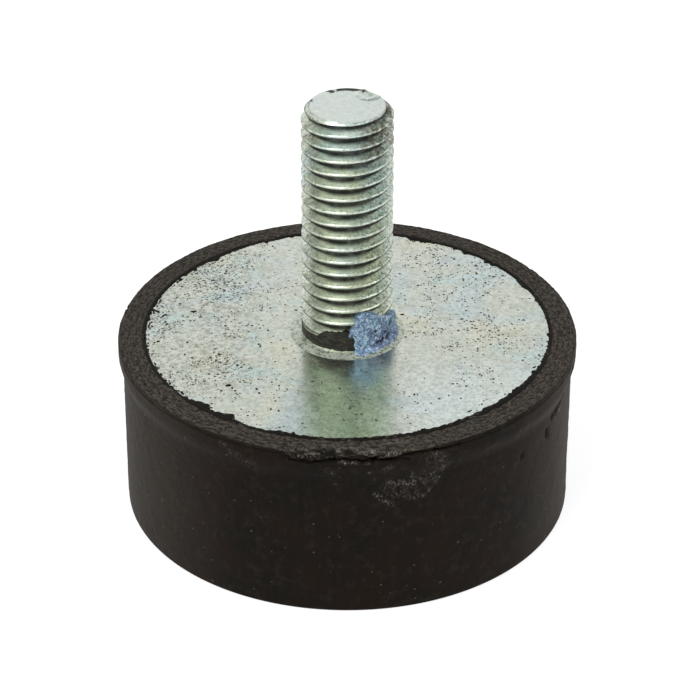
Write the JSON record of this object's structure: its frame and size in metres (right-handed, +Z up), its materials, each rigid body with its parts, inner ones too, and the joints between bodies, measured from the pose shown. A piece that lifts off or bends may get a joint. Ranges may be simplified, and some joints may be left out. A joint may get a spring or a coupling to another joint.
{
  "type": "bobbin vibration mount",
  "caption": "Short round rubber mount bonded between two steel plates, with a threaded stud on top and a tapped insert underneath.",
  "frame": {"origin": "centre of the underside that the mount stands on", "axes": "+Z up the axis of the stud"},
  "size_m": [0.05, 0.05, 0.0475],
  "materials": {
    "rubber": "matt moulded, scuffed",
    "zinc_plate": "bright zinc plating, speckled",
    "zinc_stud": "bright zinc plating"
  },
  "bodies": {
    "root": {"rubber_body": "rubber", "top_plate": "zinc_plate", "stud": "zinc_stud", "bottom_plate": "zinc_plate", "threaded_insert": "zinc_stud"}
  },
  "joints": []
}
